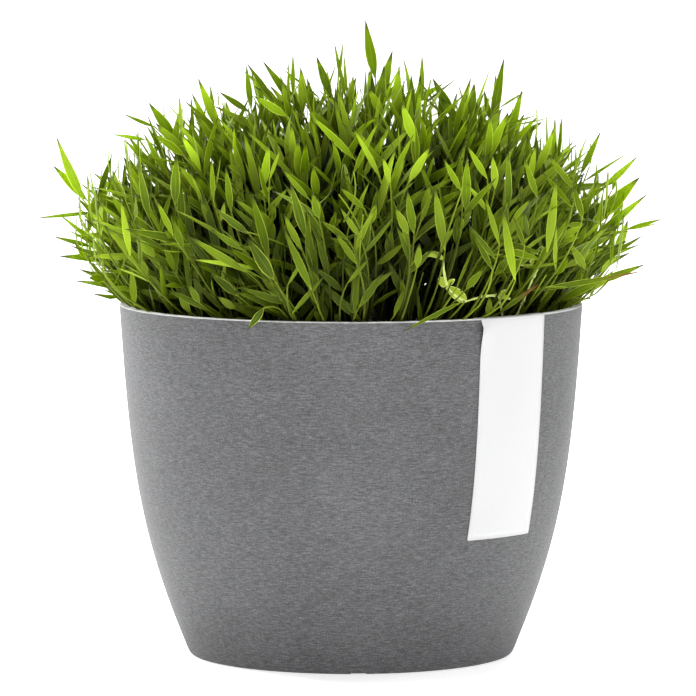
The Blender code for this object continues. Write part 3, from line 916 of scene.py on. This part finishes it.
# The shoots that stand out of the tuft's outline. Each row gives where the end blade's tip is, across and
# above the rim, how far the blade leans to the right, in degrees, and its length and half width. Those high
# up, but for the topmost, have another one close behind them.
outline_shoots = (
    (0.006, 0.122, -10, 0.026, 0.0024),
    (0.009, 0.099, -3, 0.034, 0.0027),
    (0.018, 0.109, 15, 0.028, 0.0026),
    (0.026, 0.099, 0, 0.018, 0.0018),
    (0.035, 0.097, -29, 0.019, 0.0022),
    (0.047, 0.098, 51, 0.024, 0.0005),
    (0.029, 0.097, -33, 0.015, 0.0006),
    (0.066, 0.106, 10, 0.030, 0.0022),
    (0.057, 0.092, -13, 0.014, 0.0014),
    (0.076, 0.092, 57, 0.015, 0.0005),
    (0.086, 0.080, 78, 0.015, 0.0004),
    (0.108, 0.074, 25, 0.021, 0.0015),
    (0.121, 0.065, 58, 0.025, 0.0009),
    (0.123, 0.064, 47, 0.020, 0.0018),
    (0.124, 0.055, 42, 0.025, 0.0032),
    (0.134, 0.037, 73, 0.017, 0.0010),
    (0.128, 0.047, 50, 0.030, 0.0021),
    (0.119, 0.028, 60, 0.034, 0.0024),
    (0.133, 0.034, 80, 0.015, 0.0006),
    (0.126, 0.030, 59, 0.030, 0.0014),
    (0.126, 0.025, 70, 0.034, 0.0014),
    (0.127, 0.017, 69, 0.024, 0.0016),
    (0.117, 0.014, 61, 0.023, 0.0020),
    (0.118, 0.036, 58, 0.034, 0.0024),
    (0.121, 0.022, 64, 0.036, 0.0022),
    (0.110, 0.028, 62, 0.034, 0.0024),
    (0.114, 0.047, 50, 0.030, 0.0022),
    (0.108, 0.018, 66, 0.032, 0.0022),
    (0.102, 0.010, 70, 0.030, 0.0018),
    (-0.127, 0.073, -23, 0.031, 0.0027),
    (-0.129, 0.059, -45, 0.021, 0.0021),
    (-0.137, 0.036, -96, 0.027, 0.0009),
    (-0.127, 0.038, -51, 0.026, 0.0012),
    (-0.129, 0.028, -76, 0.018, 0.0011),
    (-0.127, 0.020, -87, 0.029, 0.0020),
    (-0.118, 0.015, -67, 0.024, 0.0017),
    (-0.107, 0.006, -72, 0.024, 0.0017),
    (-0.121, 0.010, -80, 0.030, 0.0017),
    (-0.113, 0.003, -80, 0.026, 0.0014),
    (-0.121, 0.026, -70, 0.034, 0.0021),
    (-0.112, 0.018, -74, 0.034, 0.0022),
    (-0.115, 0.037, -58, 0.034, 0.0022),
    (-0.112, 0.030, -60, 0.032, 0.0020),
    (-0.116, 0.014, -80, 0.034, 0.0020),
    (-0.108, 0.022, -70, 0.032, 0.0022),
    (-0.104, 0.010, -78, 0.030, 0.0020),
    (-0.119, 0.045, -45, 0.030, 0.0020),
    (-0.103, 0.064, 18, 0.020, 0.0014),
    (-0.098, 0.060, 0, 0.019, 0.0015),
    (-0.087, 0.087, -36, 0.020, 0.0022),
    (-0.098, 0.082, -68, 0.015, 0.0009),
    (-0.068, 0.090, 0, 0.022, 0.0009),
    (-0.060, 0.094, -2, 0.015, 0.0011),
    (-0.057, 0.091, -56, 0.016, 0.0014),
    (-0.069, 0.085, -37, 0.017, 0.0019),
    (-0.045, 0.103, -6, 0.020, 0.0014),
    (-0.045, 0.104, -35, 0.021, 0.0013),
    (-0.039, 0.104, -40, 0.028, 0.0023),
    (-0.030, 0.102, -50, 0.023, 0.0006),
    (-0.025, 0.108, 0, 0.019, 0.0010),
    (-0.015, 0.107, -20, 0.019, 0.0019),
    (-0.007, 0.113, -9, 0.018, 0.0008),
    (-0.003, 0.113, 9, 0.018, 0.0008),
    (-0.097, 0.073, -38, 0.029, 0.0016),
    (0.053, 0.095, 8, 0.014, 0.0020),
)
doubled_above, doubled_below = 0.08, 0.12
for across, up, lean, length, half_width in outline_shoots:
    own_tint = chance.uniform(-0.24, 0.28)
    leading_shoot(across, up, lean, length, half_width, chance.uniform(-0.012, 0.012), tint=own_tint)
    if doubled_above < up < doubled_below:
        behind = (across + chance.uniform(-0.006, 0.006), up - chance.uniform(0.004, 0.012))
        turned_by = lean + chance.uniform(-15, 15)
        leading_shoot(*behind, turned_by, length, half_width, chance.uniform(-0.03, 0.03))

# The shoots on the tuft's rounded front, given in the same way. The back has the same, and so have the two
# sides but for the outermost.
front_shoots = (
    (-0.095, 0.037, -78, 0.028, 0.0024),
    (-0.067, 0.035, -59, 0.027, 0.0022),
    (-0.043, 0.036, -33, 0.020, 0.0032),
    (-0.041, 0.055, -14, 0.028, 0.0026),
    (-0.059, 0.020, -50, 0.015, 0.0022),
    (-0.092, 0.009, -70, 0.021, 0.0027),
    (-0.057, 0.048, -53, 0.018, 0.0021),
    (-0.058, 0.039, -57, 0.015, 0.0017),
    (-0.051, 0.032, -53, 0.018, 0.0024),
    (-0.058, 0.068, -3, 0.018, 0.0013),
    (-0.034, 0.074, 7, 0.018, 0.0022),
    (-0.029, 0.072, 20, 0.013, 0.0011),
    (-0.018, 0.086, -45, 0.027, 0.0020),
    (-0.025, 0.059, -15, 0.023, 0.0024),
    (-0.016, 0.055, -15, 0.011, 0.0021),
    (-0.029, 0.064, -43, 0.017, 0.0014),
    (-0.013, 0.044, -54, 0.014, 0.0015),
    (-0.007, 0.039, -35, 0.016, 0.0017),
    (-0.028, 0.046, -28, 0.016, 0.0019),
    (-0.028, 0.041, -24, 0.028, 0.0022),
    (-0.019, 0.028, 31, 0.013, 0.0009),
    (-0.073, 0.010, -31, 0.010, 0.0021),
    (-0.068, 0.014, -30, 0.009, 0.0019),
    (-0.089, 0.065, -10, 0.024, 0.0024),
    (-0.073, 0.068, 1, 0.020, 0.0026),
    (-0.084, 0.076, -54, 0.016, 0.0024),
    (-0.052, 0.065, -7, 0.019, 0.0018),
    (-0.041, 0.092, -58, 0.016, 0.0022),
    (-0.038, 0.019, -44, 0.012, 0.0013),
    (-0.056, 0.009, -56, 0.009, 0.0019),
    (-0.048, 0.006, -78, 0.020, 0.0010),
    (-0.015, 0.005, -22, 0.006, 0.0017),
    (-0.081, 0.050, -25, 0.016, 0.0016),
    (-0.096, 0.050, -8, 0.024, 0.0022),
    (-0.007, 0.003, -36, 0.004, 0.0015),
    (0.021, 0.090, -18, 0.017, 0.0026),
    (0.011, 0.084, 23, 0.025, 0.0016),
    (0.001, 0.081, -27, 0.024, 0.0016),
    (0.013, 0.069, -16, 0.011, 0.0015),
    (0.026, 0.078, 26, 0.020, 0.0013),
    (0.034, 0.057, -10, 0.026, 0.0025),
    (0.023, 0.056, -9, 0.018, 0.0022),
    (0.060, 0.060, 40, 0.021, 0.0018),
    (0.038, 0.068, -29, 0.015, 0.0016),
    (0.055, 0.053, -17, 0.021, 0.0014),
    (0.062, 0.048, -11, 0.030, 0.0023),
    (0.080, 0.027, 106, 0.017, 0.0015),
    (0.075, 0.051, 40, 0.013, 0.0015),
    (0.019, 0.046, 40, 0.021, 0.0011),
    (0.018, 0.049, -26, 0.012, 0.0022),
    (0.028, 0.034, 5, 0.010, 0.0020),
    (0.051, 0.033, 22, 0.019, 0.0008),
    (0.055, 0.022, 39, 0.011, 0.0020),
    (0.109, 0.027, 63, 0.021, 0.0021),
    (0.008, 0.060, 25, 0.019, 0.0010),
    (-0.005, 0.057, -49, 0.013, 0.0016),
    (-0.005, 0.049, -35, 0.015, 0.0015),
    (0.008, 0.028, 41, 0.014, 0.0011),
    (0.014, 0.022, 35, 0.018, 0.0019),
    (0.023, 0.016, 21, 0.014, 0.0015),
    (-0.005, 0.011, -43, 0.011, 0.0013),
    (0.065, 0.071, -1, 0.026, 0.0021),
    (0.048, 0.069, 1, 0.023, 0.0025),
    (0.086, 0.059, 7, 0.031, 0.0026),
    (0.077, 0.072, 7, 0.015, 0.0018),
    (0.058, 0.009, 4, 0.009, 0.0018),
    (0.088, 0.022, 81, 0.015, 0.0009),
    (0.072, 0.067, -19, 0.017, 0.0017),
    (0.048, 0.073, -31, 0.016, 0.0017),
    (0.033, 0.073, 31, 0.017, 0.0022),
    (0.082, 0.068, -38, 0.018, 0.0015),
    (0.093, 0.055, -16, 0.014, 0.0019),
    (0.067, 0.044, -21, 0.013, 0.0013),
    (0.050, 0.038, -28, 0.017, 0.0015),
    (0.034, 0.056, 21, 0.015, 0.0011),
    (0.059, 0.069, -3, 0.014, 0.0023),
)

front_depth = 0.120
front_foot_depth = 0.088
front_flare = 0.9


def tuft_front(across, up):
    """How far the front of the tuft is from its middle, at this place."""
    height = tuft_rise if rim_height + up > tuft_level else tuft_drop
    round_out = (across / tuft_width) ** 2 + ((rim_height + up - tuft_level) / height) ** 2
    round_depth = front_depth * math.sqrt(max(0.02, 1 - round_out))
    spread = front_foot_depth + front_flare * max(0.0, up)
    return min(round_depth, math.sqrt(max(0.001, spread**2 - across**2)))


side_limit = 0.055
front_stretch = 1.05
front_slimness = 0.8
for quarter in range(4):
    for across, up, lean, length, half_width in front_shoots:
        size = (length * front_stretch, half_width * front_slimness)
        if quarter % 2 == 0 or abs(across) < side_limit:
            leading_shoot(across, up, lean, *size, -tuft_front(across, up), quarter)

# A few odd ones: a blade painted pale as a painted highlight arches to the left, two hang over the rim,
# a long one and a short one are drying at their tips, and the last points to the right.
leading_shoot(-0.067, 0.0265, -79, 0.0300, 0.0012, -0.089, tint=1.2, droop=0.30, least_youth=1.0)
leading_shoot(-0.043, -0.0025, -142, 0.0115, 0.0016, -0.108, tint=-0.2)
leading_shoot(0.0205, -0.0035, -116, 0.0290, 0.0009, -0.1055, tint=0.0, droop=0.12, least_youth=0.8)
drying = {"tint": 0.05, "droop": 0.40, "wither": 0.45, "least_youth": 0.7}
leading_shoot(0.1250, 0.0165, 81, 0.0500, 0.0012, -0.050, **drying)
leading_shoot(0.0790, 0.0135, 53, 0.0215, 0.0010, -0.066, tint=0.1, wither=0.55, least_youth=0.7)
leading_shoot(0.0805, 0.0245, 104, 0.0175, 0.0015, -0.081, tint=0.25, droop=0.15, least_youth=0.8)

# Bare young culms on the tuft's front: each row gives the culm's end, the place that it bends past and its
# foot, each across and above the rim.
bare_culms = (
    (0.001, 0.063, 0.004, 0.053, -0.003, 0.043),
    (0.046, 0.056, 0.042, 0.045, 0.037, 0.030),
    (0.005, 0.046, 0.003, 0.030, 0.003, 0.004),
    (-0.005, 0.054, 0.000, 0.048, 0.004, 0.040),
    (-0.032, 0.018, -0.027, 0.010, -0.022, 0.003),
    (-0.035, 0.020, -0.030, 0.011, -0.026, 0.003),
    (0.082, 0.017, 0.078, 0.010, 0.075, 0.004),
    (0.087, 0.016, 0.083, 0.009, 0.080, 0.004),
)
stand_proud = 0.001
for row in bare_culms:
    places = []
    for across, up in (row[0:2], row[2:4], row[4:6]):
        places.append(Vector((across, -tuft_front(across, up) - stand_proud, rim_height + up)))
    end, control, start = places
    add_culm(nearest_group(start), start, control, end, 1.0, culm_radius * 0.8, 0.9, least_youth=0.9)

for node, bm in groups.items():
    tuft = finished_object(bm, node.replace("culm", "tuft"), [blade_finish, culm_finish])
    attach(tuft, "root")
    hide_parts(node)


# The seedlings: two self-sown weeds of a paler green. The first creeps along the rim from the right and turns
# up, with six leaves, among them a lance-shaped, a round and a hooked one. The second stands up with three.
seedling_radius = 0.00065
seedling_stretches = 4
seedling_root = compost_edge + 0.0030
creeper_route = (
    (0.0640, -0.050, seedling_root),
    (0.0620, -0.060, rim_height + 0.0080),
    (0.0480, -0.079, rim_height + 0.0070),
    (0.0400, -0.082, rim_height + 0.0140),
    (0.0385, -0.082, rim_height + 0.0245),
)
upright_route = (
    (0.066, -0.044, seedling_root),
    (0.074, -0.050, rim_height + 0.0080),
    (0.0790, -0.054, rim_height + 0.0200),
    (0.0800, -0.056, rim_height + 0.0240),
)

# Each leaf: the point of the stem that it grows from, its direction, length, half width and droop.
creeper_leaves = (
    (2, (-0.78, -0.12, 0.62), 0.0108, 0.0026, 0.25),
    (3, (-0.70, -0.15, 0.60), 0.0048, 0.0023, 0.20),
    (3, (0.75, -0.10, 0.62), 0.0042, 0.0012, 0.10),
    (4, (-0.62, -0.10, 0.62), 0.0145, 0.0024, 2.30),
    (1, (0.90, -0.20, -0.20), 0.0055, 0.0011, 0.30),
    (1, (0.75, -0.15, 0.60), 0.0040, 0.0009, 0.20),
)
upright_leaves = (
    (3, (0.10, -0.10, 1.0), 0.0046, 0.0021, 0.15),
    (2, (-0.70, -0.20, 0.50), 0.0045, 0.0018, 0.20),
    (2, (-0.98, -0.10, 0.05), 0.0080, 0.0006, 0.10),
)
leaf_outline = (
    (0, 0.12),
    (0.06, 0.50),
    (0.18, 0.84),
    (0.36, 1.0),
    (0.58, 0.93),
    (0.78, 0.66),
    (0.92, 0.34),
    (1, 0),
)
leaf_shape = pointed_shape("leaf_shape", leaf_outline)

seedling_tones = [
    (0.0, (0.140, 0.220, 0.012, 1.0)),
    (0.5, (0.400, 0.520, 0.035, 1.0)),
    (1.0, (0.800, 0.900, 0.180, 1.0)),
]
seedling_edge = (0.90, 0.96, 0.36, 1.0)
seedling_glow = (0.60, 0.82, 0.08, 1.0)
seedling_colours = (seedling_tones, seedling_edge, seedling_edge, seedling_glow)
seedling_finish = leaf_finish("seedling green", *seedling_colours, 0.25)


def smooth_run(points, share):
    """A point on the smooth run through these points."""
    place = share * (len(points) - 1)
    index = min(int(place), len(points) - 2)
    t = place - index
    before, start, end, after = (points[min(max(index + step, 0), len(points) - 1)] for step in (-1, 0, 1, 2))
    bend = (end - before) * t + (2 * before - 5 * start + 4 * end - after) * t**2
    return start + (bend + (3 * start - before - 3 * end + after) * t**3) / 2


def grow_seedling(name, node, route, leaves, tint):
    """One seedling on its run: a fine stem, and leaves of several shapes that face forwards."""
    points = [Vector(point) for point in route]
    bm = growing_bmesh()
    for index in range(seedling_stretches):
        start, end = (smooth_run(points, (index + step) / seedling_stretches) for step in (0, 1))
        middle = smooth_run(points, (index + 0.5) / seedling_stretches) * 2 - (start + end) / 2
        add_culm(bm, start, middle, end, 1.0, seedling_radius, 1.0, least_youth=1.0)
    for face in bm.faces:
        face.material_index = 0
    for at, direction, length, half_width, droop in leaves:
        pose = {"droop": droop, "tint": tint, "shape": leaf_shape, "least_youth": 1.0}
        face = Vector((0.1, -1, 0.5)) if droop < 1 else Vector((0.6, -0.7, 0.8))
        add_blade(bm, points[at], Vector(direction), face, length, half_width, **pose)
    seedling = finished_object(bm, name, [seedling_finish])
    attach(seedling, "root")
    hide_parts(node)


grow_seedling("creeping_seedling", "seedling_01", creeper_route, creeper_leaves, 0.48)
grow_seedling("upright_seedling", "seedling_02", upright_route, upright_leaves, 0.30)
